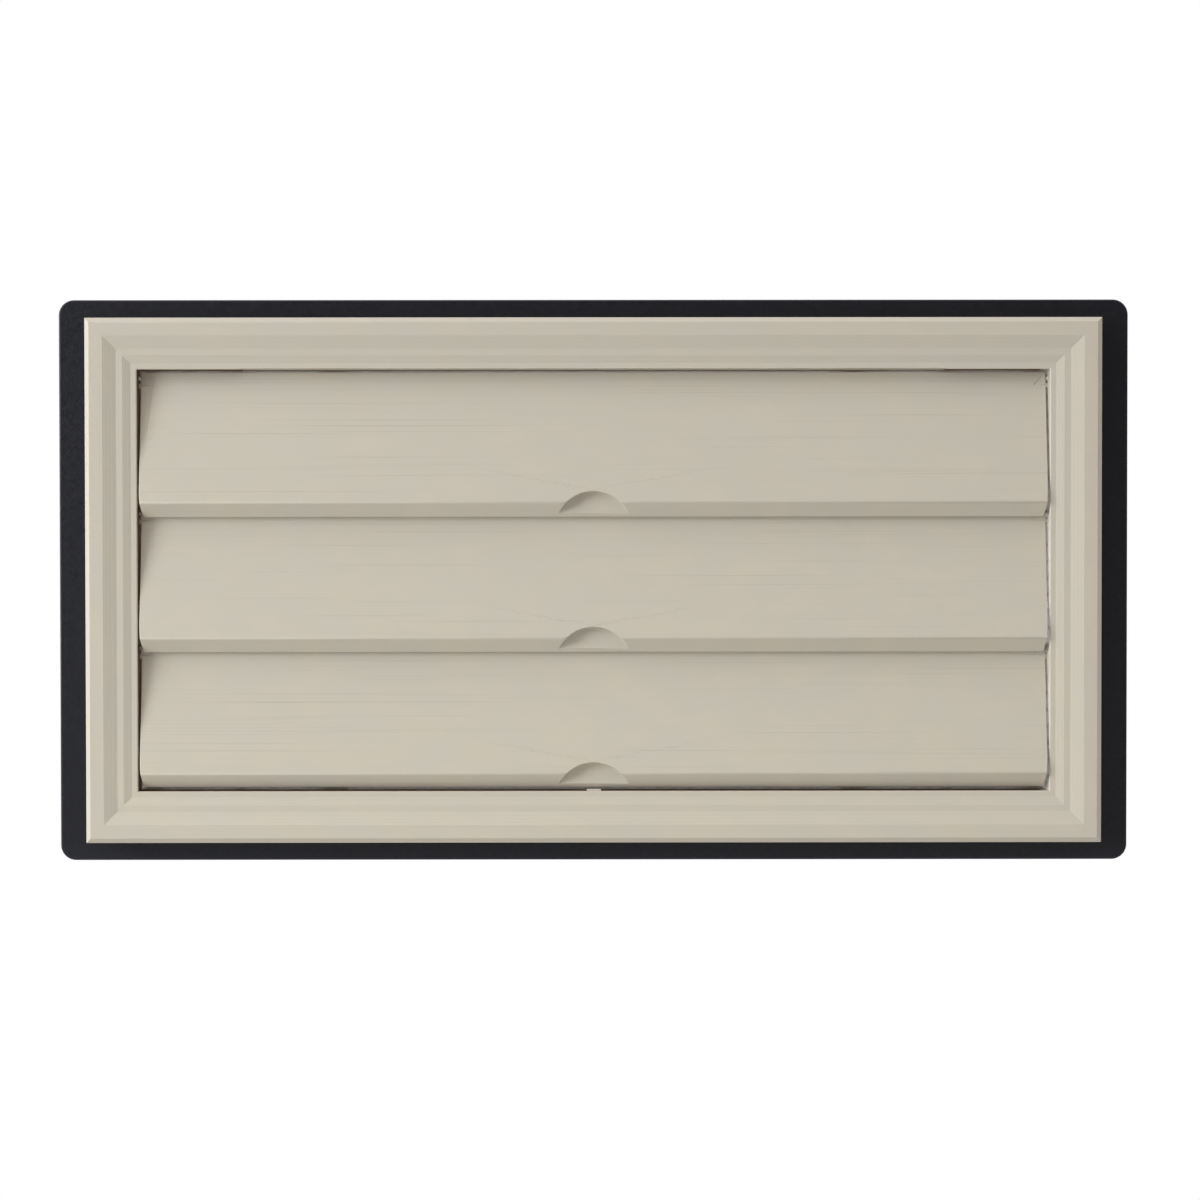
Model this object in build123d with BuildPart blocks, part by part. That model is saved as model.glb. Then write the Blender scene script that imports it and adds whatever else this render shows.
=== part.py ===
from build123d import *
import math
import os

os.makedirs("parts", exist_ok=True)

# Millimetres. The vent looks out along -Y, +X is to its right and +Z is up.
# The origin is the centre of the flange plate's back face, which lies on the wall.

# Flange plate, coated sheet steel
PLATE_WIDTH = 450.0
PLATE_HEIGHT = 236.0
PLATE_THICKNESS = 1.5
PLATE_CORNER_RADIUS = 6.4

# Louver frame, a thin-walled moulding that steps down towards its opening
FRAME_WIDTH = 422.6
FRAME_HEIGHT = 218.4
FRAME_RISE = 14.4
FRAME_WALL = 2.2
RIM_BEVEL_WIDTH = 2.1
RIM_BEVEL_DROP = 1.7
RIM_FLAT = 5.5
OUTER_SLOPE_WIDTH = 5.5
OUTER_SLOPE_DROP = 1.5
MIDDLE_FLAT = 2.5
INNER_SLOPE_WIDTH = 3.4
INNER_SLOPE_DROP = 0.9
INNER_FLAT = 2.4
BAND_EDGE_RADIUS = 0.5
COLLAR_REACH = 7.0
HEAD_RELIEF_WIDTH = 293.0
HEAD_RELIEF_DEPTH = 0.4

# Small mouldings on the frame's inner walls: teeth above the pins and a catch on the sill
TOOTH_HEIGHT = 2.0
TOOTH_REACH = 0.6
TOOTH_LENGTH = 5.0
TOOTH_ABOVE_PIN = 3.3
CATCH_WIDTH = 5.9
CATCH_HEIGHT = 0.85
CATCH_HEEL = 0.4
CATCH_LENGTH = 2.8

# Louvers: bent strips that hang on end pins near their top edges
LOUVER_NAMES = ("upper_louver", "middle_louver", "lower_louver")
LOUVER_WALL = 1.8
FACE_TILT = 7.8
FACE_OFFSET = 1.2
LIP_HEIGHT = 5.8
LIP_FORWARD = 2.9
LIP_ABOVE_PIN = 1.6
CREST_RADIUS = 1.2
END_GAP = 0.95
TOP_GAP = 0.8
SILL_GAP = 1.4
CORNER_EASE_WIDTH = 1.1
CORNER_EASE_HEIGHT = 13.0

# Pivot pins
PIN_DROP = 6.5
PIN_SETBACK = 6.3
PIN_DIAMETER = 2.4
PIN_CLEARANCE = 0.05
PIN_ROOT = 5.0

# Half-moon thumb recess at the foot of each louver
THUMB_WIDTH = 29.0
THUMB_HEIGHT = 9.2
THUMB_SILL = 1.4

# Wall sleeve, folded sheet steel
SLEEVE_SHEET = 1.0
SLEEVE_DEPTH = 57.0
SLEEVE_LIP = 8.0
SLEEVE_CLEARANCE = 0.2
WINDOW_CLEARANCE = 1.5
ANCHOR_DIAMETER = 5.5
ANCHOR_DEPTH = 38.0
ANCHOR_SPACING = 100.0

# Rodent screen, and the sleeve tabs that hold it against the collar
SCREEN_THICKNESS = 1.6
SCREEN_BAR = 1.6
SCREEN_COLUMNS = 15
SCREEN_ROWS = 8
SCREEN_CLEARANCE = 0.6
TAB_WIDTH = 10.0
TAB_LENGTH = 6.0
TAB_SPACING_ALONG = 220.0
TAB_SPACING_UP = 80.0

# Blind rivets through sleeve and collar
RIVET_DIAMETER = 3.2
RIVET_CLEARANCE = 0.05
RIVET_HEAD_DIAMETER = 6.4
RIVET_HEAD_HEIGHT = 1.0
RIVET_CROWN_DIAMETER = 4.4
RIVET_TAIL_DIAMETER = 4.6
RIVET_TAIL_HEIGHT = 1.8
RIVET_DEPTH = 3.9
RIVET_SPACING = 300.0

# Depths along Y, from the rim at the front to the screen at the back
PLATE_FRONT = -PLATE_THICKNESS
RIM_Y = PLATE_FRONT - FRAME_RISE
MIDDLE_Y = RIM_Y + OUTER_SLOPE_DROP
INNER_Y = MIDDLE_Y + INNER_SLOPE_DROP
PIN_Y = INNER_Y + PIN_SETBACK
SCREEN_BACK = COLLAR_REACH + SCREEN_THICKNESS

# Opening and sleeve across X and Z
BAND_WIDTH = (
    RIM_BEVEL_WIDTH + RIM_FLAT + OUTER_SLOPE_WIDTH + MIDDLE_FLAT + INNER_SLOPE_WIDTH + INNER_FLAT
)
OPENING_WIDTH = FRAME_WIDTH - 2 * BAND_WIDTH
OPENING_HEIGHT = FRAME_HEIGHT - 2 * BAND_WIDTH
SLEEVE_GROWTH = 2 * (FRAME_WALL + SLEEVE_CLEARANCE)
SLEEVE_INNER_WIDTH = OPENING_WIDTH + SLEEVE_GROWTH
SLEEVE_INNER_HEIGHT = OPENING_HEIGHT + SLEEVE_GROWTH
SLEEVE_WIDTH = SLEEVE_INNER_WIDTH + 2 * SLEEVE_SHEET
SLEEVE_HEIGHT = SLEEVE_INNER_HEIGHT + 2 * SLEEVE_SHEET

# Louver layout: pins one pitch apart, the lowest lip just above the sill
LOUVER_PITCH = (OPENING_HEIGHT - PIN_DROP + LIP_ABOVE_PIN - SILL_GAP) / len(LOUVER_NAMES)
LOUVER_LENGTH = OPENING_WIDTH - 2 * END_GAP
LIP_REACH = LOUVER_PITCH - LIP_ABOVE_PIN
TOP_REACH = PIN_DROP - TOP_GAP
PIN_HEIGHTS = [OPENING_HEIGHT / 2 - PIN_DROP - row * LOUVER_PITCH for row in range(len(LOUVER_NAMES))]

# Louver section about its pin, as (Y, Z)
FACE_SLOPE = math.tan(math.radians(FACE_TILT))
FACE_TOP = (TOP_REACH * FACE_SLOPE - FACE_OFFSET, TOP_REACH)
CREST = ((LIP_HEIGHT - LIP_REACH) * FACE_SLOPE - FACE_OFFSET, LIP_HEIGHT - LIP_REACH)
LIP_END = (-LIP_FORWARD, -LIP_REACH)

# The recess floor stands upright and runs out on the lip a little above its end
FLOOR_SILL = (
    LIP_END[0] + (CREST[0] - LIP_END[0]) * THUMB_SILL / LIP_HEIGHT,
    LIP_END[1] + THUMB_SILL,
)
FLOOR_BACK = FLOOR_SILL[0] + LOUVER_WALL
CUP_TOP = (FLOOR_BACK, (FLOOR_BACK + FACE_OFFSET) / FACE_SLOPE)
THUMB_RADIUS = ((THUMB_WIDTH / 2) ** 2 + THUMB_HEIGHT**2) / (2 * THUMB_HEIGHT)
THUMB_CENTRE = FLOOR_SILL[1] + THUMB_HEIGHT - THUMB_RADIUS
EASE_RADIUS = (CORNER_EASE_WIDTH**2 + CORNER_EASE_HEIGHT**2) / (2 * CORNER_EASE_WIDTH)

UPWARD = Vector(0, 0, 1)
RIGHTWARD = Vector(1, 0, 0)


def wall_plane(y, z=0):
    """Plane parallel to the wall at depth y and height z; its sketches read X right and Z up."""
    return Plane((0, y, z), x_dir=(1, 0, 0), z_dir=(0, -1, 0))


def duct_places(axis, size, spacing, y):
    """Planes on a duct's two walls across an axis, two to a wall: local Y runs back, Z faces out."""
    back = Vector(0, 1, 0)
    places = []
    for side in (-1, 1):
        for shift in (-0.5, 0.5):
            origin = axis * (side * size / 2) + back.cross(axis) * (shift * spacing) + back * y
            places.append(Plane(origin, x_dir=back.cross(axis * side), z_dir=axis * side))
    return places


def rivet_places(height):
    """Planes at the rivets on the upper and lower walls of a duct of that height."""
    return duct_places(UPWARD, height, RIVET_SPACING, RIVET_DEPTH)


# Flange plate with the window that the sleeve passes through
with BuildPart() as mounting_plate:
    with BuildSketch(wall_plane(0)):
        RectangleRounded(PLATE_WIDTH, PLATE_HEIGHT, PLATE_CORNER_RADIUS)
        Rectangle(
            SLEEVE_WIDTH + 2 * WINDOW_CLEARANCE,
            SLEEVE_HEIGHT + 2 * WINDOW_CLEARANCE,
            mode=Mode.SUBTRACT,
        )
    extrude(amount=PLATE_THICKNESS)
mounting_plate.part.label = "mounting_plate"
export_step(mounting_plate.part, "parts/mounting_plate.step")

# Sleeve: a tightly folded duct with a lip turned out over the plate, tabs lanced in and anchor holes
with BuildPart() as wall_sleeve:
    with BuildSketch(wall_plane(PLATE_FRONT)):
        Rectangle(SLEEVE_WIDTH + 2 * SLEEVE_LIP, SLEEVE_HEIGHT + 2 * SLEEVE_LIP)
    extrude(amount=SLEEVE_SHEET)
    with BuildSketch(wall_plane(SLEEVE_DEPTH)):
        RectangleRounded(SLEEVE_WIDTH, SLEEVE_HEIGHT, SLEEVE_SHEET)
    extrude(amount=SLEEVE_DEPTH - PLATE_FRONT)
    with BuildSketch(wall_plane(SLEEVE_DEPTH)):
        Rectangle(SLEEVE_INNER_WIDTH, SLEEVE_INNER_HEIGHT)
    extrude(amount=SLEEVE_DEPTH - PLATE_FRONT + SLEEVE_SHEET, mode=Mode.SUBTRACT)
    level_tabs = duct_places(UPWARD, SLEEVE_INNER_HEIGHT, TAB_SPACING_ALONG, SCREEN_BACK)
    end_tabs = duct_places(RIGHTWARD, SLEEVE_INNER_WIDTH, TAB_SPACING_UP, SCREEN_BACK)
    with Locations(*level_tabs, *end_tabs):
        Box(
            TAB_WIDTH,
            SLEEVE_SHEET + TAB_LENGTH,
            SLEEVE_SHEET,
            align=(Align.CENTER, Align.MIN, Align.MIN),
            mode=Mode.SUBTRACT,
        )
        with Locations((0, 0, SLEEVE_SHEET)):
            Box(
                TAB_WIDTH,
                SLEEVE_SHEET,
                SLEEVE_SHEET + TAB_LENGTH,
                align=(Align.CENTER, Align.MIN, Align.MAX),
            )
    with Locations(*rivet_places(SLEEVE_INNER_HEIGHT)):
        Cylinder(
            RIVET_DIAMETER / 2 + RIVET_CLEARANCE,
            SLEEVE_SHEET,
            align=(Align.CENTER, Align.CENTER, Align.MIN),
            mode=Mode.SUBTRACT,
        )
    with BuildSketch(Plane.YZ):
        with Locations((ANCHOR_DEPTH, -ANCHOR_SPACING / 2), (ANCHOR_DEPTH, ANCHOR_SPACING / 2)):
            Circle(ANCHOR_DIAMETER / 2)
    extrude(amount=SLEEVE_WIDTH, both=True, mode=Mode.SUBTRACT)
wall_sleeve.part.label = "wall_sleeve"
export_step(wall_sleeve.part, "parts/wall_sleeve.step")

# Louver frame: one wall swept round the opening with mitred corners
with BuildPart() as louver_frame:
    with BuildLine(wall_plane(PLATE_FRONT)):
        Polyline(
            (0, -FRAME_HEIGHT / 2),
            (FRAME_WIDTH / 2, -FRAME_HEIGHT / 2),
            (FRAME_WIDTH / 2, FRAME_HEIGHT / 2),
            (-FRAME_WIDTH / 2, FRAME_HEIGHT / 2),
            (-FRAME_WIDTH / 2, -FRAME_HEIGHT / 2),
            close=True,
        )
    foot = -FRAME_HEIGHT / 2
    section_points = [(PLATE_FRONT, foot), (RIM_Y + RIM_BEVEL_DROP, foot)]
    for y, band in (
        (RIM_Y, RIM_BEVEL_WIDTH),
        (RIM_Y, RIM_FLAT),
        (MIDDLE_Y, OUTER_SLOPE_WIDTH),
        (MIDDLE_Y, MIDDLE_FLAT),
        (INNER_Y, INNER_SLOPE_WIDTH),
        (INNER_Y, INNER_FLAT),
        (COLLAR_REACH, 0),
    ):
        section_points.append((y, section_points[-1][1] + band))
    with BuildSketch(Plane.YZ) as wall:
        with BuildLine():
            Polyline(*section_points)
            offset(amount=FRAME_WALL, side=Side.RIGHT, kind=Kind.INTERSECTION)
        make_face()
        bends = [wall.vertices().sort_by_distance(point)[0] for point in section_points[1:-1]]
        fillet(bends, BAND_EDGE_RADIUS)
    sweep(transition=Transition.RIGHT)
    # Shallow relief in the head of the opening
    with BuildSketch(wall_plane(PIN_Y, OPENING_HEIGHT / 2)):
        Rectangle(HEAD_RELIEF_WIDTH, 2 * HEAD_RELIEF_DEPTH)
    extrude(amount=PIN_SETBACK, mode=Mode.SUBTRACT)
    # Pin sockets and the retaining tooth above each
    with BuildSketch(Plane.YZ):
        with Locations(*[(PIN_Y, height) for height in PIN_HEIGHTS]):
            Circle(PIN_DIAMETER / 2 + PIN_CLEARANCE)
    extrude(amount=OPENING_WIDTH / 2 + FRAME_WALL, both=True, mode=Mode.SUBTRACT)
    for height in PIN_HEIGHTS:
        with BuildSketch(wall_plane(PIN_Y + TOOTH_LENGTH / 2, height + TOOTH_ABOVE_PIN)):
            for side in (-1, 1):
                root = side * OPENING_WIDTH / 2
                with BuildLine():
                    Polyline(
                        (root, -TOOTH_HEIGHT / 2),
                        (root - side * TOOTH_REACH, 0),
                        (root, TOOTH_HEIGHT / 2),
                        close=True,
                    )
                make_face()
        extrude(amount=TOOTH_LENGTH)
    # Catch on the sill that the lowest lip passes over
    with BuildSketch(Plane.YZ):
        sill = -OPENING_HEIGHT / 2
        toe = INNER_Y + BAND_EDGE_RADIUS
        with BuildLine():
            Polyline(
                (toe, sill),
                (toe, sill + CATCH_HEIGHT),
                (toe + CATCH_LENGTH, sill + CATCH_HEEL),
                (toe + CATCH_LENGTH, sill),
                close=True,
            )
        make_face()
    extrude(amount=CATCH_WIDTH / 2, both=True)
    with Locations(*rivet_places(OPENING_HEIGHT)):
        Cylinder(
            RIVET_DIAMETER / 2 + RIVET_CLEARANCE,
            FRAME_WALL,
            align=(Align.CENTER, Align.CENTER, Align.MIN),
            mode=Mode.SUBTRACT,
        )
louver_frame.part.label = "louver_frame"
export_step(louver_frame.part, "parts/louver_frame.step")

# Louvers: the same moulding three times, one pitch apart
for name, pin_height in zip(LOUVER_NAMES, PIN_HEIGHTS):
    section = Plane((0, PIN_Y, pin_height), x_dir=(0, 1, 0), z_dir=(1, 0, 0))
    with BuildPart() as louver:
        # Cup behind the thumb recess, trimmed to the louver's front
        with BuildSketch(section) as cup:
            with BuildLine():
                Polyline(CUP_TOP, CREST, FLOOR_SILL, (FLOOR_BACK, FLOOR_SILL[1]), close=True)
            make_face()
            fillet(cup.vertices().sort_by(Axis.X)[0], CREST_RADIUS)
        extrude(amount=THUMB_WIDTH, both=True)
        with BuildSketch(wall_plane(PIN_Y + FLOOR_BACK, pin_height + THUMB_CENTRE)):
            Circle(THUMB_RADIUS + LOUVER_WALL)
        extrude(amount=FLOOR_BACK - CREST[0], mode=Mode.INTERSECT)
        # Bent strip: face, crest and lip
        with BuildSketch(section) as strip:
            with BuildLine():
                Polyline(FACE_TOP, CREST, LIP_END)
                offset(amount=LOUVER_WALL, side=Side.LEFT, kind=Kind.INTERSECTION)
            make_face()
            fillet(strip.vertices().sort_by(Axis.X)[0], CREST_RADIUS)
        extrude(amount=LOUVER_LENGTH / 2, both=True)
        # Lower corners eased so that they swing clear of the frame
        with BuildSketch(wall_plane(PIN_Y - LIP_FORWARD, pin_height)):
            half = LOUVER_LENGTH / 2
            with BuildLine():
                Polyline(
                    (-half, CORNER_EASE_HEIGHT - LIP_REACH),
                    (-half, PIN_DROP),
                    (half, PIN_DROP),
                    (half, CORNER_EASE_HEIGHT - LIP_REACH),
                )
                RadiusArc(
                    (half, CORNER_EASE_HEIGHT - LIP_REACH),
                    (half - CORNER_EASE_WIDTH, -LIP_REACH),
                    EASE_RADIUS,
                )
                Line((half - CORNER_EASE_WIDTH, -LIP_REACH), (CORNER_EASE_WIDTH - half, -LIP_REACH))
                RadiusArc(
                    (CORNER_EASE_WIDTH - half, -LIP_REACH),
                    (-half, CORNER_EASE_HEIGHT - LIP_REACH),
                    EASE_RADIUS,
                )
            make_face()
        extrude(amount=FRAME_RISE, both=True, mode=Mode.INTERSECT)
        # Thumb recess
        with BuildSketch(wall_plane(PIN_Y + FLOOR_SILL[0], pin_height + THUMB_CENTRE)):
            Circle(THUMB_RADIUS)
        extrude(amount=FLOOR_SILL[0] - CREST[0], mode=Mode.SUBTRACT)
        # Pins with their roots in the strip's top corners
        for side in (-1, 1):
            root = side * (LOUVER_LENGTH / 2 - PIN_ROOT)
            with BuildSketch(Plane((root, PIN_Y, pin_height), x_dir=(0, 1, 0), z_dir=(side, 0, 0))):
                Circle(PIN_DIAMETER / 2)
            extrude(amount=PIN_ROOT + END_GAP + FRAME_WALL)
    louver.part.label = name
    export_step(louver.part, f"parts/{name}.step")

# Rodent screen: square grid clamped between the collar and the sleeve's tabs
with BuildPart() as rodent_screen:
    with BuildSketch(wall_plane(SCREEN_BACK)):
        Rectangle(SLEEVE_INNER_WIDTH - 2 * SCREEN_CLEARANCE, SLEEVE_INNER_HEIGHT - 2 * SCREEN_CLEARANCE)
        pitch_x = OPENING_WIDTH / SCREEN_COLUMNS
        pitch_z = OPENING_HEIGHT / SCREEN_ROWS
        with GridLocations(pitch_x, pitch_z, SCREEN_COLUMNS, SCREEN_ROWS):
            Rectangle(pitch_x - SCREEN_BAR, pitch_z - SCREEN_BAR, mode=Mode.SUBTRACT)
    extrude(amount=SCREEN_THICKNESS)
rodent_screen.part.label = "rodent_screen"
export_step(rodent_screen.part, "parts/rodent_screen.step")

# Rivets: tail inside the collar, shank through both walls, head outside the sleeve
with BuildPart() as sleeve_rivets:
    with Locations(*rivet_places(OPENING_HEIGHT)):
        grip = FRAME_WALL + SLEEVE_CLEARANCE + SLEEVE_SHEET
        Cylinder(
            RIVET_TAIL_DIAMETER / 2, RIVET_TAIL_HEIGHT, align=(Align.CENTER, Align.CENTER, Align.MAX)
        )
        Cylinder(RIVET_DIAMETER / 2, grip, align=(Align.CENTER, Align.CENTER, Align.MIN))
        with Locations((0, 0, grip)):
            Cone(
                RIVET_HEAD_DIAMETER / 2,
                RIVET_CROWN_DIAMETER / 2,
                RIVET_HEAD_HEIGHT,
                align=(Align.CENTER, Align.CENTER, Align.MIN),
            )
sleeve_rivets.part.label = "sleeve_rivets"
export_step(sleeve_rivets.part, "parts/sleeve_rivets.step")
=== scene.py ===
"""Looks of the foundation vent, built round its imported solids. Lengths are metres."""

import logging
import math
from abc import ABC, abstractmethod
from dataclasses import dataclass
from enum import Enum
from typing import Sequence

import bmesh
import bpy
from mathutils import Matrix, Vector


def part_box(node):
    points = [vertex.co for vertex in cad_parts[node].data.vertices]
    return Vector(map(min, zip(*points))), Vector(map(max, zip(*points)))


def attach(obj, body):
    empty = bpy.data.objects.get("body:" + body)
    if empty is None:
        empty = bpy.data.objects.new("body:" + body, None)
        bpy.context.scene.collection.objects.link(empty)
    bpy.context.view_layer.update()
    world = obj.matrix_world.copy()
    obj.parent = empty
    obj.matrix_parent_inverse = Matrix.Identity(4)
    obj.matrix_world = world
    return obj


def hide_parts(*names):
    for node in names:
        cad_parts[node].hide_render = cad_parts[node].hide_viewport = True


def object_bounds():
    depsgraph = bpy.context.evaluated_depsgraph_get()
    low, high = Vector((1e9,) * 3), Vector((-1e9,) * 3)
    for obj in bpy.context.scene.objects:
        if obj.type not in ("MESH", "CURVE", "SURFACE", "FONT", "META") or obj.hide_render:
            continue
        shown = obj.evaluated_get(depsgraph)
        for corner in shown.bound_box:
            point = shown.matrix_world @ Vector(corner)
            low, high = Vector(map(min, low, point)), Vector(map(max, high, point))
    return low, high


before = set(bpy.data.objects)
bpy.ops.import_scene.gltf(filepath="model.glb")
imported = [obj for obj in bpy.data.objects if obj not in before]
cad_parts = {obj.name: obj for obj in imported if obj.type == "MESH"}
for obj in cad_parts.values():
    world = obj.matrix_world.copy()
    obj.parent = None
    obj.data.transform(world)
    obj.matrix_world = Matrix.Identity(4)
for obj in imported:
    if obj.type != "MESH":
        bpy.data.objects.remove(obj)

LOG = logging.getLogger("foundation_vent")
CAD_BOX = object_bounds()

Colour = tuple[float, float, float]
Place = tuple[float, float, float]
Span = tuple[float, float]
Socket = bpy.types.NodeSocket

WHITE: Colour = (1.0, 1.0, 1.0)
NOISE_SPAN: Span = (0.3, 0.7)  # what noise textures mostly keep to


class Grain(Enum):
    """Which way the fine tool lines of a moulding run."""

    LEVEL = "level"
    ROUND_FRAME = "round_frame"


class Wiring:
    """Node tree with short calls for the nodes that finishes and room share."""

    def __init__(self, tree: bpy.types.NodeTree) -> None:
        """Take over a tree and empty it.

        Args:
            tree: Tree of a material or of the world.
        """
        self.tree = tree
        self.tree.nodes.clear()

    def feed(self, source: Socket | float | Sequence[float], target: Socket) -> None:
        """Join a socket to a target, or write a plain value on it.

        Args:
            source: Output socket, number or colour.
            target: Input socket that takes it.
        """
        if isinstance(source, bpy.types.NodeSocket):
            self.tree.links.new(source, target)
        else:
            target.default_value = source

    def math(self, operation: str, first: Socket | float, second: Socket | float = 0.0) -> Socket:
        """Combine two numbers.

        Args:
            operation: Name of the math node's operation.
            first: First operand.
            second: Second operand, unused by operations of one operand.

        Returns:
            Socket of the result.
        """
        node = self.tree.nodes.new("ShaderNodeMath")
        node.operation = operation
        self.feed(first, node.inputs[0])
        self.feed(second, node.inputs[1])
        return node.outputs[0]

    def parts(self, vector: Socket) -> tuple[Socket, Socket, Socket]:
        """Take a vector apart.

        Args:
            vector: Socket of the vector.

        Returns:
            Sockets of its three numbers.
        """
        node = self.tree.nodes.new("ShaderNodeSeparateXYZ")
        self.feed(vector, node.inputs[0])
        return node.outputs[0], node.outputs[1], node.outputs[2]

    def spread(
        self, value: Socket, low: float, high: float, to_low: float, to_high: float
    ) -> Socket:
        """Map a range of a value onto another range, held at its ends.

        Args:
            value: Number to map.
            low: Value that becomes to_low.
            high: Value that becomes to_high.
            to_low: Start of the new range.
            to_high: End of the new range.

        Returns:
            Socket of the mapped number.
        """
        node = self.tree.nodes.new("ShaderNodeMapRange")
        self.feed(value, node.inputs["Value"])
        ends = {"From Min": low, "From Max": high, "To Min": to_low, "To Max": to_high}
        for key, number in ends.items():
            node.inputs[key].default_value = number
        return node.outputs["Result"]

    def choose(self, share: Socket, first: Socket, second: Socket) -> Socket:
        """Mix two shaders.

        Args:
            share: Part of the second shader.
            first: Shader at share 0.
            second: Shader at share 1.

        Returns:
            Socket of the mixed shader.
        """
        node = self.tree.nodes.new("ShaderNodeMixShader")
        for source, target in zip((share, first, second), node.inputs):
            self.feed(source, target)
        return node.outputs[0]


class Graph(Wiring):
    """Node tree of one material."""

    MIX_COLOURS = (6, 7)  # inputs of a mix node that take colours
    MIX_RESULT = 2  # and its output

    def __init__(self, name: str) -> None:
        """Start a material with only its shader and output, joined.

        Args:
            name: Name of the material.
        """
        self.material = bpy.data.materials.new(name)
        self.material.use_nodes = True
        super().__init__(self.material.node_tree)
        self.shader = self.tree.nodes.new("ShaderNodeBsdfPrincipled")
        self.output = self.tree.nodes.new("ShaderNodeOutputMaterial")
        self.feed(self.shader.outputs["BSDF"], self.output.inputs["Surface"])
        place = self.tree.nodes.new("ShaderNodeTexCoord")
        self.position = place.outputs["Object"]
        self.normal = place.outputs["Normal"]

    def axes(self) -> tuple[Socket, Socket, Socket]:
        """Object coordinates as three numbers."""
        return self.parts(self.position)

    def vector(self, x: Socket | float, y: Socket | float, z: Socket | float) -> Socket:
        """Put three numbers together.

        Args:
            x: First number.
            y: Second number.
            z: Third number.

        Returns:
            Socket of the vector.
        """
        node = self.tree.nodes.new("ShaderNodeCombineXYZ")
        for source, target in zip((x, y, z), node.inputs):
            self.feed(source, target)
        return node.outputs[0]

    def stretched(self, along: Socket, across: Socket, scales: Span) -> Socket:
        """Two distances as coordinates for noise, each at a scale of its own.

        Args:
            along: First distance.
            across: Second distance.
            scales: Features per metre of each.

        Returns:
            Socket of the coordinates.
        """
        first = self.math("MULTIPLY", along, scales[0])
        second = self.math("MULTIPLY", across, scales[1])
        return self.vector(first, second, 0.0)

    def noise(self, where: Socket, scale: float, detail: float = 2.0) -> Socket:
        """Soft random value at a place.

        Args:
            where: Coordinates to read.
            scale: Features per metre of the coordinates.
            detail: Octaves added to the first.

        Returns:
            Socket with values round 0.5.
        """
        node = self.tree.nodes.new("ShaderNodeTexNoise")
        self.feed(where, node.inputs["Vector"])
        node.inputs["Scale"].default_value = scale
        node.inputs["Detail"].default_value = detail
        return node.outputs["Fac"]

    def cells(self, where: Socket, scale: float) -> Socket:
        """Random grey of the cell that a place lies in.

        Args:
            where: Coordinates to read.
            scale: Cells per metre of the coordinates.

        Returns:
            Socket with values from 0 to 1.
        """
        node = self.tree.nodes.new("ShaderNodeTexVoronoi")
        self.feed(where, node.inputs["Vector"])
        node.inputs["Scale"].default_value = scale
        grey = self.tree.nodes.new("ShaderNodeRGBToBW")
        self.feed(node.outputs["Color"], grey.inputs[0])
        return grey.outputs[0]

    def blend(self, share: Socket, first: Socket | Colour, second: Socket | Colour) -> Socket:
        """Mix two colours.

        Args:
            share: Part of the second colour.
            first: Colour at share 0.
            second: Colour at share 1.

        Returns:
            Socket of the mixed colour.
        """
        node = self.tree.nodes.new("ShaderNodeMix")
        node.data_type = "RGBA"
        self.feed(share, node.inputs["Factor"])
        for source, index in zip((first, second), self.MIX_COLOURS):
            solid = source if isinstance(source, bpy.types.NodeSocket) else (*source, 1.0)
            self.feed(solid, node.inputs[index])
        return node.outputs[self.MIX_RESULT]

    def bump(
        self, height: Socket, strength: float, reach: float, under: Socket | None = None
    ) -> Socket:
        """Relief from a height.

        Args:
            height: Height from 0 to 1.
            strength: Share of the relief that shows.
            reach: Full height in metres.
            under: Normal of a coarser relief that this one lies on.

        Returns:
            Socket of the normal.
        """
        node = self.tree.nodes.new("ShaderNodeBump")
        node.inputs["Strength"].default_value = strength
        node.inputs["Distance"].default_value = reach
        self.feed(height, node.inputs["Height"])
        if under is not None:
            self.feed(under, node.inputs["Normal"])
        return node.outputs["Normal"]

    def set(self, **values: Socket | float | Sequence[float]) -> None:
        """Write or join sockets of the shader.

        Args:
            **values: What each socket takes, by its name with underscores for spaces.
        """
        for key, value in values.items():
            self.feed(value, self.shader.inputs[key.replace("_", " ")])


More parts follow.
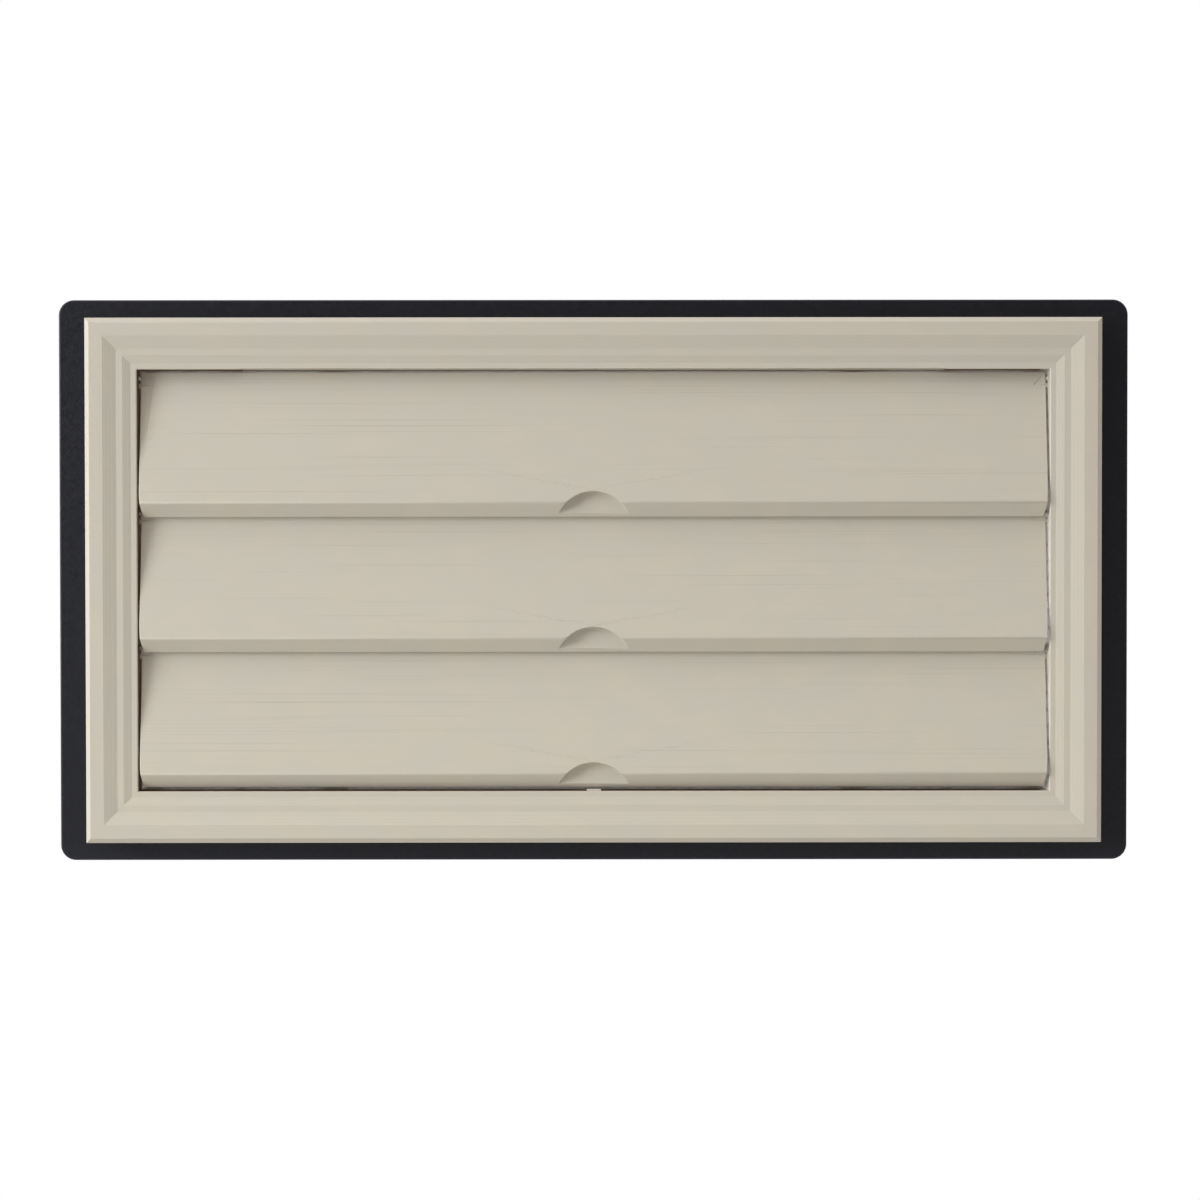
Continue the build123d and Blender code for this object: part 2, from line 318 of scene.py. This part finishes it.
@dataclass(frozen=True)
class MouldedPlastic:
    """Almond plastic from a mould: two casts, flow lines, fine tool lines, a satin skin and, on the
    frame, painted shade on the walls of the opening.
    """

    name: str
    grain: Grain
    warm: Colour = (0.594, 0.540, 0.452)
    cool: Colour = (0.572, 0.538, 0.466)
    stain: Colour = (0.30, 0.26, 0.20)
    # Colour of the painted shade on the walls of the opening
    painted_shade: Colour = (0.115, 0.050, 0.020)
    shine: float = 0.4
    roughness: Span = (0.40, 0.52)
    roughness_scale: float = 260.0
    cast_scales: Span = (45.0, 75.0)
    cast_band: Span = (0.35, 0.65)
    streak_scales: Span = (4.5, 1400.0)
    streak_band: Span = (0.62, 0.72)
    streak_share: float = 0.27
    drawn_scales: Span = (4.0, 1500.0)
    drawn_strength: float = 0.10
    drawn_depth: float = 0.0002
    skin_scale: float = 2200.0
    skin_strength: float = 0.05
    skin_depth: float = 0.0001
    outline: Span = (0.2113, 0.1092)
    line_pitch: float = 0.00105
    line_depth: float = 0.000017
    line_share: float = 0.04
    line_from: Span = (0.992, 0.980)
    line_until: Span = (0.86, 0.93)
    louver_pitch: float = 0.056433
    seam_foot: float = -0.0766
    seam_rise: float = 0.19
    seam_reach: float = 0.055
    seam_full: float = 0.6
    seam_share: float = 0.26
    seam_width: Span = (0.0004, 0.0001)
    seam_wander: Span = (0.0005, 0.0020)
    wander_scale: float = 400.0
    break_scale: float = 700.0
    opening: Span = (0.1899, 0.0878)
    # Where the painted shade lies on the walls of the opening, and the share left on the lit right
    # end wall
    shade_start: Span = (-0.0132, -0.0122)
    shade_end: Span = (-0.0020, -0.0060)
    shade_share: float = 0.9
    shade_skin: Span = (0.0003, 0.0001)
    lit_end: Span = (0.186, 0.189)
    lit_end_share: float = 0.1

    def across_lines(self, graph: Graph) -> tuple[Socket, Socket]:
        """Distances across and along the tool lines.

        Args:
            graph: Material that the finish is being built in.

        Returns:
            Sockets of the distance across the lines and along them.
        """
        x, y, z = graph.axes()
        if self.grain is Grain.LEVEL:
            return graph.math("ADD", z, y), x
        in_from_end = graph.math("SUBTRACT", self.outline[0], graph.math("ABSOLUTE", x))
        in_from_edge = graph.math("SUBTRACT", self.outline[1], graph.math("ABSOLUTE", z))
        across = graph.math("SUBTRACT", graph.math("MINIMUM", in_from_end, in_from_edge), y)
        return across, graph.math("ADD", x, z)

    def tool_lines(self, graph: Graph, across: Socket) -> Socket:
        """Even fine lines that the cutter left on the slopes of the mould.

        Args:
            graph: Material that the finish is being built in.
            across: Distance across the lines.

        Returns:
            Socket of their height, from 0 to 1.
        """
        wave = graph.math("SINE", graph.math("MULTIPLY", across, 2 * math.pi / self.line_pitch))
        front = graph.math("ABSOLUTE", graph.parts(graph.normal)[1])
        tilted = graph.spread(front, *self.line_from, 0.0, 1.0)
        shallow = graph.spread(front, *self.line_until, 0.0, 1.0)
        slope = graph.math("MULTIPLY", tilted, shallow)
        return graph.math("MULTIPLY", graph.spread(wave, -1.0, 1.0, 0.0, 1.0), slope)

    def streaks(self, graph: Graph, across: Socket, along: Socket) -> Socket:
        """Thin flow lines along the piece.

        Args:
            graph: Material that the finish is being built in.
            across: Distance across the lines.
            along: Distance along them.

        Returns:
            Socket of their share of stain.
        """
        flow = graph.noise(graph.stretched(along, across, self.streak_scales), 1.0)
        return graph.spread(flow, *self.streak_band, 0.0, self.streak_share)

    def seams(self, graph: Graph) -> Socket:
        """Broken lines that rise from the top of each thumb recess, where the melt met.

        Args:
            graph: Material that the finish is being built in.

        Returns:
            Socket of their share of stain.
        """
        x, _, z = graph.axes()
        out = graph.math("ABSOLUTE", x)
        above = graph.math("SUBTRACT", z, self.seam_foot)
        height = graph.math("FLOORED_MODULO", above, self.louver_pitch)
        wave = graph.noise(graph.position, self.wander_scale)
        wander = graph.spread(wave, *NOISE_SPAN, *self.seam_wander)
        line = graph.math("ADD", graph.math("MULTIPLY", out, self.seam_rise), wander)
        off = graph.math("ABSOLUTE", graph.math("SUBTRACT", height, line))
        near = graph.spread(off, *self.seam_width, 0.0, 1.0)
        full = self.seam_full * self.seam_reach
        length = graph.spread(out, self.seam_reach, full, 0.0, self.seam_share)
        whole = graph.math("MULTIPLY", near, length)
        return graph.math("MULTIPLY", whole, graph.noise(graph.position, self.break_scale))

    def painted_wall_shade(self, graph: Graph) -> Socket:
        """Painted shade on the walls of the opening round the louvers, behind the frame's front,
        with less of it on the right end wall, which the left lamp lights.

        Args:
            graph: Material that the finish is being built in.

        Returns:
            Socket of the share of painted shade.
        """
        x, y, z = graph.axes()
        off_end = graph.math("SUBTRACT", graph.math("ABSOLUTE", x), self.opening[0])
        off_edge = graph.math("SUBTRACT", graph.math("ABSOLUTE", z), self.opening[1])
        off = graph.math("ABSOLUTE", graph.math("MAXIMUM", off_end, off_edge))
        # Painted shade from just behind the frame's inner front flat to a few millimetres further
        # in
        begun = graph.spread(y, *self.shade_start, 0.0, self.shade_share)
        left = graph.spread(y, *self.shade_end, 0.0, self.shade_share)
        on_wall = graph.spread(off, *self.shade_skin, 0.0, 1.0)
        # Less painted shade on the right end wall, which the left lamp lights
        shaded_end = graph.spread(x, *self.lit_end, 1.0, self.lit_end_share)
        here = graph.math("MULTIPLY", on_wall, shaded_end)
        return graph.math("MULTIPLY", graph.math("MINIMUM", begun, left), here)

    def material(self) -> bpy.types.Material:
        """Build the finish.

        Returns:
            Material ready for a piece.
        """
        graph = Graph(self.name)
        across, along = self.across_lines(graph)
        patch = graph.noise(graph.stretched(along, across, self.cast_scales), 1.0, 3.0)
        cast = graph.spread(patch, *self.cast_band, 0.0, 1.0)
        colour = graph.blend(cast, self.cool, self.warm)
        colour = graph.blend(self.streaks(graph, across, along), colour, self.stain)
        cut = self.tool_lines(graph, across)
        shine: Socket | float = self.shine
        if self.grain is Grain.LEVEL:
            colour = graph.blend(self.seams(graph), colour, self.stain)
        else:
            grimy = graph.spread(cut, 0.5, 1.0, 0.0, self.line_share)
            colour = graph.blend(grimy, colour, self.stain)
            # Painted shade on the walls of the opening: darker colour and less shine
            wall_shade = self.painted_wall_shade(graph)
            colour = graph.blend(wall_shade, colour, self.painted_shade)
            shine = graph.spread(wall_shade, 0.0, self.shade_share, self.shine, 0.0)
        drawn = graph.noise(graph.stretched(along, across, self.drawn_scales), 1.0, 1.0)
        cut_relief = graph.bump(cut, 1.0, self.line_depth)
        relief = graph.bump(drawn, self.drawn_strength, self.drawn_depth, cut_relief)
        haze = graph.noise(graph.position, self.roughness_scale)
        skin = graph.noise(graph.position, self.skin_scale, 3.0)
        graph.set(
            Base_Color=colour,
            Roughness=graph.spread(haze, *NOISE_SPAN, *self.roughness),
            Specular_IOR_Level=shine,
            Normal=graph.bump(skin, self.skin_strength, self.skin_depth, relief),
        )
        return graph.material


@dataclass(frozen=True)
class BlackCoat:
    """Satin black coating with orange peel and fine pale specks."""

    name: str = "satin_black_coat"
    dark: Colour = (0.0034, 0.0028, 0.0054)
    sheen_cast: Colour = (0.86, 0.90, 1.0)
    speck: Colour = (0.030, 0.030, 0.036)
    speck_scale: float = 3200.0
    speck_band: Span = (0.60, 0.74)
    shine: float = 0.45
    roughness: Span = (0.42, 0.56)
    roughness_scale: float = 500.0
    peel_scale: float = 1100.0
    peel_strength: float = 0.15
    peel_depth: float = 0.0002

    def material(self) -> bpy.types.Material:
        """Build the finish.

        Returns:
            Material ready for a piece.
        """
        graph = Graph(self.name)
        grit = graph.noise(graph.position, self.speck_scale)
        specks = graph.spread(grit, *self.speck_band, 0.0, 1.0)
        haze = graph.noise(graph.position, self.roughness_scale, 3.0)
        peel = graph.noise(graph.position, self.peel_scale)
        graph.set(
            Base_Color=graph.blend(specks, self.dark, self.speck),
            Roughness=graph.spread(haze, *NOISE_SPAN, *self.roughness),
            Specular_IOR_Level=self.shine,
            Specular_Tint=(*self.sheen_cast, 1.0),
            Normal=graph.bump(peel, self.peel_strength, self.peel_depth),
        )
        return graph.material


@dataclass(frozen=True)
class ZincCoat:
    """Galvanised steel with spangle."""

    name: str = "galvanised_zinc"
    bright: Colour = (0.62, 0.63, 0.64)
    dull: Colour = (0.40, 0.41, 0.43)
    spangle_scale: float = 420.0
    cloud_scale: float = 900.0
    roughness: Span = (0.34, 0.55)
    relief_strength: float = 0.15
    relief_depth: float = 0.0001

    def material(self) -> bpy.types.Material:
        """Build the finish.

        Returns:
            Material ready for a piece.
        """
        graph = Graph(self.name)
        spangle = graph.cells(graph.position, self.spangle_scale)
        cloud = graph.noise(graph.position, self.cloud_scale, 3.0)
        graph.set(
            Base_Color=graph.blend(spangle, self.dull, self.bright),
            Metallic=1.0,
            Roughness=graph.spread(cloud, *NOISE_SPAN, *self.roughness),
            Normal=graph.bump(cloud, self.relief_strength, self.relief_depth),
        )
        return graph.material


@dataclass(frozen=True)
class RivetAlloy:
    """Plain aluminium with a faint haze."""

    name: str = "rivet_aluminium"
    bright: Colour = (0.78, 0.78, 0.79)
    haze: Colour = (0.62, 0.62, 0.63)
    cloud_scale: float = 1400.0
    roughness: Span = (0.25, 0.45)
    relief_strength: float = 0.1
    relief_depth: float = 0.0001

    def material(self) -> bpy.types.Material:
        """Build the finish.

        Returns:
            Material ready for a piece.
        """
        graph = Graph(self.name)
        cloud = graph.noise(graph.position, self.cloud_scale, 4.0)
        graph.set(
            Base_Color=graph.blend(cloud, self.bright, self.haze),
            Metallic=1.0,
            Roughness=graph.spread(cloud, *NOISE_SPAN, *self.roughness),
            Normal=graph.bump(cloud, self.relief_strength, self.relief_depth),
        )
        return graph.material


def placed(name: str, sheet: bmesh.types.BMesh, finish: bpy.types.Material) -> bpy.types.Object:
    """Turn a mesh under construction into an object of the scene.

    Args:
        name: Name of the object and of its mesh.
        sheet: Mesh under construction, freed here.
        finish: Material that covers it.

    Returns:
        Object at the origin.
    """
    mesh = bpy.data.meshes.new(name)
    sheet.to_mesh(mesh)
    sheet.free()
    mesh.materials.append(finish)
    made = bpy.data.objects.new(name, mesh)
    bpy.context.scene.collection.objects.link(made)
    return made


@dataclass
class Piece(ABC):
    """Piece of the vent as it is seen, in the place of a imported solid."""

    name: str
    node: str
    body: str
    slot: str
    sharp: float = math.radians(35)

    @abstractmethod
    def shape(self) -> bmesh.types.BMesh:
        """Make the form of the piece."""

    def shade(self, sheet: bmesh.types.BMesh) -> None:
        """Round the shading over all edges but the sharp ones.

        Args:
            sheet: Mesh of the piece.
        """
        for edge in sheet.edges:
            edge.smooth = edge.calc_face_angle(0.0) < self.sharp
        for face in sheet.faces:
            face.smooth = True

    def build(self, finish: bpy.types.Material) -> bpy.types.Object:
        """Make the piece, dress it and put it in the solid's place.

        Args:
            finish: Material that covers it.

        Returns:
            Object that replaces the solid.
        """
        sheet = self.shape()
        self.shade(sheet)
        piece = placed(self.name, sheet, finish)
        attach(piece, self.body)
        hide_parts(self.node)
        count = len(piece.data.polygons)
        LOG.info("%s in the place of %s: %d faces", self.name, self.node, count)
        return piece


@dataclass
class EasedPiece(Piece):
    """Piece with the form of its solid, its sharp outer edges eased as the tool leaves them."""

    weld: float = 2e-6
    ease: float = 0.0
    steps: int = 2
    broad: float = 0.0012
    flat: float = math.radians(0.05)

    def merged(self) -> bmesh.types.BMesh:
        """Copy the solid's triangles as closed faces.

        Returns:
            Mesh with its corners welded and its flat faces whole.
        """
        sheet = bmesh.new()
        sheet.from_mesh(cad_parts[self.node].data)
        bmesh.ops.remove_doubles(sheet, verts=sheet.verts, dist=self.weld)
        bmesh.ops.dissolve_limit(
            sheet, angle_limit=self.flat, verts=sheet.verts, edges=sheet.edges
        )
        return sheet

    def outer_edges(self, sheet: bmesh.types.BMesh) -> list[bmesh.types.BMEdge]:
        """Find the edges to ease, which are sharp and stand out.

        Args:
            sheet: Mesh of the piece.

        Returns:
            Edges of the mesh.
        """
        return [
            edge
            for edge in sheet.edges
            if edge.is_convex and edge.calc_face_angle(0.0) > self.sharp
        ]

    def shape(self) -> bmesh.types.BMesh:
        """Make the eased form.

        Returns:
            Mesh of the piece.
        """
        sheet = self.merged()
        if self.ease > 0.0:
            bmesh.ops.bevel(
                sheet,
                geom=self.outer_edges(sheet),
                offset=self.ease,
                offset_type="OFFSET",
                segments=self.steps,
                profile=0.5,
                affect="EDGES",
                clamp_overlap=False,
                material=-1,
            )
            bmesh.ops.remove_doubles(sheet, verts=sheet.verts, dist=self.weld)
            bmesh.ops.dissolve_degenerate(sheet, edges=sheet.edges, dist=self.weld)
        return sheet

    def shade(self, sheet: bmesh.types.BMesh) -> None:
        """Round the shading of narrow faces and keep broad faces flat to their edges.

        Args:
            sheet: Mesh of the piece.
        """
        super().shade(sheet)
        for face in sheet.faces:
            if 2 * face.calc_area() > self.broad * face.calc_perimeter():
                for edge in face.edges:
                    edge.smooth = False


@dataclass
class FlangePlate(EasedPiece):
    """Black sheet plate behind the frame, rolled over at its outline."""

    name: str = "flange_plate"
    node: str = "mounting_plate"
    body: str = "vent_body"
    slot: str = "black_coat"
    ease: float = 0.0007
    steps: int = 3


@dataclass
class WallSleeve(EasedPiece):
    """Folded sheet sleeve that goes into the wall."""

    name: str = "folded_sleeve"
    node: str = "wall_sleeve"
    body: str = "vent_body"
    slot: str = "black_coat"
    ease: float = 0.00018


@dataclass
class LouverFrame(EasedPiece):
    """Stepped and mitred moulding round the louvers, its bends already round."""

    name: str = "stepped_frame"
    node: str = "louver_frame"
    body: str = "vent_body"
    slot: str = "almond_frame"


@dataclass
class SleeveRivets(EasedPiece):
    """Blind rivets that join frame and sleeve."""

    name: str = "blind_rivets"
    node: str = "sleeve_rivets"
    body: str = "vent_body"
    slot: str = "rivet_alloy"


@dataclass
class LouverSet:
    """The three louvers, alike but for their place."""

    levels: tuple[str, ...] = ("upper", "middle", "lower")
    slot: str = "almond_louver"
    ease: float = 0.00028

    def build(self, finish: bpy.types.Material) -> list[bpy.types.Object]:
        """Make every louver.

        Args:
            finish: Material of all three.

        Returns:
            Louvers from the top down.
        """
        leaves = [
            EasedPiece(
                f"{level}_leaf", f"{level}_louver", f"{level}_flap", self.slot, ease=self.ease
            )
            for level in self.levels
        ]
        return [leaf.build(finish) for leaf in leaves]


@dataclass
class RodentScreen(Piece):
    """Welded wire cloth for the coarse grid: level wires in front, upright wires behind."""

    name: str = "wire_cloth"
    node: str = "rodent_screen"
    body: str = "vent_body"
    slot: str = "galvanised_wire"
    pitch: float = 0.0068
    sides: int = 8
    weld_spread: float = 1.25
    weld_depth: float = 0.6
    sharp: float = math.radians(60)

    def row(
        self, sheet: bmesh.types.BMesh, first: list[bmesh.types.BMVert], count: int, step: Vector
    ) -> None:
        """Repeat a shape at even steps.

        Args:
            sheet: Mesh that holds it.
            first: Corners of the first one.
            count: How many there are in all.
            step: From one to the next.
        """
        geom = set(first)
        geom.update(edge for vert in first for edge in vert.link_edges)
        geom.update(face for vert in first for face in vert.link_faces)
        bmesh.ops.spin(
            sheet,
            geom=list(geom),
            axis=(0.0, 0.0, 1.0),
            angle=0.0,
            dvec=step,
            steps=count - 1,
            use_duplicate=True,
        )

    def wire(
        self,
        sheet: bmesh.types.BMesh,
        middle: Vector,
        length: float,
        radius: float,
        turn: Matrix,
    ) -> list[bmesh.types.BMVert]:
        """Add one straight wire.

        Args:
            sheet: Mesh that takes it.
            middle: Middle of the wire.
            length: Its length.
            radius: Its radius.
            turn: Turn from upright to its own direction.

        Returns:
            Corners of the wire.
        """
        made = bmesh.ops.create_cone(
            sheet,
            cap_ends=True,
            segments=self.sides,
            radius1=radius,
            radius2=radius,
            depth=length,
            matrix=Matrix.Translation(middle) @ turn,
        )
        return made["verts"]

    def shape(self) -> bmesh.types.BMesh:
        """Lay the wires and the welds where they cross.

        Returns:
            Mesh of the cloth.
        """
        low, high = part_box(self.node)
        size = high - low
        middle = (low + high) / 2
        radius = size.y / 4  # two layers of wire fill the depth
        across = int((size.x - 2 * radius) / self.pitch) + 1
        tall = int((size.z - 2 * radius) / self.pitch) + 1
        left = Vector(((1 - across) * self.pitch / 2, 0, 0))
        foot = Vector((0, 0, (1 - tall) * self.pitch / 2))
        front = Vector((0, -radius, 0))
        right_step = Vector((self.pitch, 0, 0))
        up_step = Vector((0, 0, self.pitch))
        sheet = bmesh.new()
        across_turn = Matrix.Rotation(math.pi / 2, 4, "Y")
        level = self.wire(sheet, middle + front + foot, size.x, radius, across_turn)
        self.row(sheet, level, tall, up_step)
        upright = self.wire(sheet, middle - front + left, size.z, radius, Matrix.Identity(4))
        self.row(sheet, upright, across, right_step)
        pressed = Matrix.Diagonal((1.0, self.weld_depth, 1.0, 1.0))
        weld = bmesh.ops.create_icosphere(
            sheet,
            subdivisions=1,
            radius=radius * self.weld_spread,
            matrix=Matrix.Translation(middle + left + foot) @ pressed,
        )
        before = len(sheet.verts) - len(weld["verts"])
        self.row(sheet, weld["verts"], across, right_step)
        sheet.verts.ensure_lookup_table()
        self.row(sheet, sheet.verts[before:], tall, up_step)
        return sheet


@dataclass(frozen=True)
class Lamp:
    """Soft rectangular lamp aimed at the middle of the vent, or at a place of its own."""

    name: str
    place: Place
    size: Span
    power: float
    colour: Colour = WHITE
    aim: Place = (0.0, 0.0, 0.0)
    mirrored: bool = True

    def hang(self) -> bpy.types.Object:
        """Hang the lamp.

        Returns:
            Light object, out of the camera's sight.
        """
        data = bpy.data.lights.new(self.name, "AREA")
        data.shape = "RECTANGLE"
        data.size, data.size_y = self.size
        data.energy = self.power
        data.color = self.colour
        light = bpy.data.objects.new(self.name, data)
        place = Vector(self.place)
        turn = (Vector(self.aim) - place).to_track_quat("-Z", "Y").to_matrix().to_4x4()
        light.matrix_world = Matrix.Translation(place) @ turn
        light.visible_camera = False
        light.visible_glossy = self.mirrored
        bpy.context.scene.collection.objects.link(light)
        return light


@dataclass
class Studio:
    """Camera at the photographed view, soft lamps round it, an even room and a white floor."""

    camera_place: Place = (0.001282, -0.952098, 0.005971)
    pitch: float = -0.015069
    yaw: float = 0.001442
    roll: float = -0.000896
    focal_pixels: float = 2255.63
    image_pixels: float = 1200.0
    sensor: float = 36.0
    clip: Span = (0.01, 50.0)
    lamps: tuple[Lamp, ...] = (
        Lamp("left_key", (-2.20, -1.10, 0.42), (1.10, 1.10), 38.2, (0.945, 1.0, 1.025)),
        Lamp("top_soft", (-0.10, -1.15, 1.15), (1.40, 0.50), 1.8, (1.01, 1.0, 0.96)),
        Lamp(
            "floor_bounce",
            (0.04, -0.18, -0.110),
            (0.80, 0.06),
            0.062,
            (1.03, 1.0, 0.95),
            aim=(0.04, 0.0, -0.095),
            mirrored=False,
        ),
        Lamp("back_card", (0.0, 1.40, -0.06), (1.60, 0.10), 6.0),
    )
    left_level: float = 1.47
    right_level: float = 0.12
    above_level: float = 1.52
    behind_level: float = 0.17
    front_gap: Span = (-0.8, -0.5)
    ring_edge: Span = (0.1, -0.1)
    rear_edge: Span = (-0.1, 0.2)
    room_colour: Colour = (1.025, 1.0, 0.975)
    floor_paint: Colour = (0.76, 0.75, 0.73)
    floor_reach: float = 6.0
    # Dark sheet of painted shade in the sleeve's mouth: its colour and its inset
    hollow_shade_colour: Colour = (0.014, 0.008, 0.005)
    hollow_inset: float = 0.0012

    def camera(self) -> bpy.types.Object:
        """Place the camera.

        Returns:
            Camera object, set as the scene's own.
        """
        flat = math.cos(self.pitch)
        ahead = Vector((math.sin(self.yaw) * flat, math.cos(self.yaw) * flat, math.sin(self.pitch)))
        level = Vector((math.cos(self.yaw), -math.sin(self.yaw), 0.0))
        above = level.cross(ahead)
        right = level * math.cos(self.roll) + above * math.sin(self.roll)
        up = above * math.cos(self.roll) - level * math.sin(self.roll)
        data = bpy.data.cameras.new("photo_camera")
        data.sensor_width = self.sensor
        data.lens = self.focal_pixels * self.sensor / self.image_pixels
        data.clip_start, data.clip_end = self.clip
        camera = bpy.data.objects.new("photo_camera", data)
        turn = Matrix((right, up, -ahead)).transposed().to_4x4()
        camera.matrix_world = Matrix.Translation(self.camera_place) @ turn
        bpy.context.scene.collection.objects.link(camera)
        bpy.context.scene.camera = camera
        return camera

    def room(self) -> None:
        """Light the room: white where it is seen as background, brighter to the left and above."""
        world = bpy.data.worlds.new("studio")
        bpy.context.scene.world = world
        world.use_nodes = True
        sheet = Wiring(world.node_tree)
        ray = sheet.tree.nodes.new("ShaderNodeLightPath").outputs
        x, y, z = sheet.parts(sheet.tree.nodes.new("ShaderNodeTexCoord").outputs["Generated"])
        mirrored = sheet.math("MULTIPLY", ray["Is Glossy Ray"], sheet.math("GREATER_THAN", y, 0.0))
        clear = sheet.math("MAXIMUM", ray["Is Camera Ray"], ray["Is Transmission Ray"])
        left = sheet.spread(x, 0.0, -1.0, 0.0, self.left_level)
        right = sheet.spread(x, 0.0, 1.0, 0.0, self.right_level)
        above = sheet.spread(z, 0.0, 1.0, 0.0, self.above_level)
        around = sheet.math("ADD", sheet.math("ADD", left, right), above)
        before = sheet.spread(y, *self.ring_edge, 0.0, 1.0)
        aside = sheet.spread(y, *self.front_gap, 0.0, 1.0)
        lit = sheet.math("MULTIPLY", around, sheet.math("MINIMUM", before, aside))
        rear = sheet.spread(y, *self.rear_edge, 0.0, self.behind_level)
        fill = sheet.tree.nodes.new("ShaderNodeBackground")
        fill.inputs["Color"].default_value = (*self.room_colour, 1.0)
        sheet.feed(sheet.math("ADD", lit, rear), fill.inputs["Strength"])
        white = sheet.tree.nodes.new("ShaderNodeBackground")
        white.inputs["Color"].default_value = (*WHITE, 1.0)
        output = sheet.tree.nodes.new("ShaderNodeOutputWorld")
        plain = sheet.math("MAXIMUM", mirrored, clear)
        mixed = sheet.choose(plain, fill.outputs[0], white.outputs[0])
        sheet.feed(mixed, output.inputs["Surface"])

    def floor_finish(self) -> bpy.types.Material:
        """White paint that is seen as plain white, as the background of the photo is.

        Returns:
            Material of the floor.
        """
        graph = Graph("floor_white")
        ray = graph.tree.nodes.new("ShaderNodeLightPath").outputs
        behind = graph.math("GREATER_THAN", graph.axes()[1], CAD_BOX[0][1])
        mirrored = graph.math("MULTIPLY", ray["Is Glossy Ray"], behind)
        seen = graph.math("MAXIMUM", ray["Is Camera Ray"], mirrored)
        graph.set(Base_Color=(*self.floor_paint, 1.0), Roughness=0.9, Specular_IOR_Level=0.1)
        glow = graph.tree.nodes.new("ShaderNodeEmission")
        mixed = graph.choose(seen, graph.shader.outputs[0], glow.outputs[0])
        graph.feed(mixed, graph.output.inputs["Surface"])
        return graph.material

    def floor(self) -> bpy.types.Object:
        """Lay the floor at the vent's foot.

        Returns:
            Floor object.
        """
        sheet = bmesh.new()
        foot = Matrix.Translation((0, 0, CAD_BOX[0][2]))
        bmesh.ops.create_grid(
            sheet, x_segments=1, y_segments=1, size=self.floor_reach, matrix=foot
        )
        floor = placed("floor", sheet, self.floor_finish())
        return floor

    def hollow_finish(self) -> bpy.types.Material:
        """Painted shade of the wall's hollow: a dark sheet that shows only to an eye in front of
        the vent.

        Returns:
            Material that light and an eye behind the vent pass through.
        """
        graph = Graph("painted_hollow_shade")
        nodes = graph.tree.nodes
        graph.set(Base_Color=(*self.hollow_shade_colour, 1.0), Roughness=1.0, Specular_IOR_Level=0.0)
        ray = nodes.new("ShaderNodeLightPath").outputs
        seen = graph.math("MAXIMUM", ray["Is Camera Ray"], ray["Is Glossy Ray"])
        behind = nodes.new("ShaderNodeNewGeometry").outputs["Backfacing"]
        clear = nodes.new("ShaderNodeBsdfTransparent")
        # Painted shade: dark only to camera and mirror rays that meet its front; light passes
        # through
        dark = graph.math("MULTIPLY", seen, graph.math("SUBTRACT", 1.0, behind))
        mixed = graph.choose(dark, clear.outputs[0], graph.shader.outputs[0])
        graph.feed(mixed, graph.output.inputs["Surface"])
        return graph.material

    def hollow(self) -> bpy.types.Object:
        """Stand a dark sheet of painted shade, for the wall's hollow, in the mouth of the sleeve.

        Returns:
            Backdrop object.
        """
        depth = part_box("wall_sleeve")[1].y - self.hollow_inset
        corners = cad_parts["wall_sleeve"].data.vertices
        rim = [vert.co for vert in corners if vert.co.y > depth]
        across = 2 * (max(corner.x for corner in rim) - self.hollow_inset)
        tall = 2 * (max(corner.z for corner in rim) - self.hollow_inset)
        sheet = bmesh.new()
        mouth = Matrix.Translation((0, depth, 0)) @ Matrix.Rotation(math.pi / 2, 4, "X")
        bmesh.ops.create_grid(sheet, x_segments=1, y_segments=1, size=0.5, matrix=mouth)
        bmesh.ops.scale(sheet, vec=(across, 1.0, tall), verts=sheet.verts)
        backdrop = placed("painted_hollow_shade", sheet, self.hollow_finish())
        return backdrop

    def set_up(self) -> None:
        """Place camera, room, floor, the dark sheet of painted shade behind and lamps."""
        self.camera()
        self.room()
        self.floor()
        self.hollow()
        for lamp in self.lamps:
            lamp.hang()
            LOG.info("lamp %s", lamp.name)


def main() -> None:
    """Build the studio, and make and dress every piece."""
    logging.basicConfig(level=logging.INFO, format="%(name)s %(message)s")
    Studio().set_up()
    coat = BlackCoat().material()
    FlangePlate().build(coat)
    WallSleeve().build(coat)
    frame_plastic = MouldedPlastic("almond_frame_plastic", Grain.ROUND_FRAME, streak_share=0.08)
    louver_plastic = MouldedPlastic("almond_louver_plastic", Grain.LEVEL)
    LouverFrame().build(frame_plastic.material())
    LouverSet().build(louver_plastic.material())
    RodentScreen().build(ZincCoat().material())
    SleeveRivets().build(RivetAlloy().material())
    bpy.context.scene.view_settings.view_transform = "Standard"


if __name__ == "__main__":
    main()
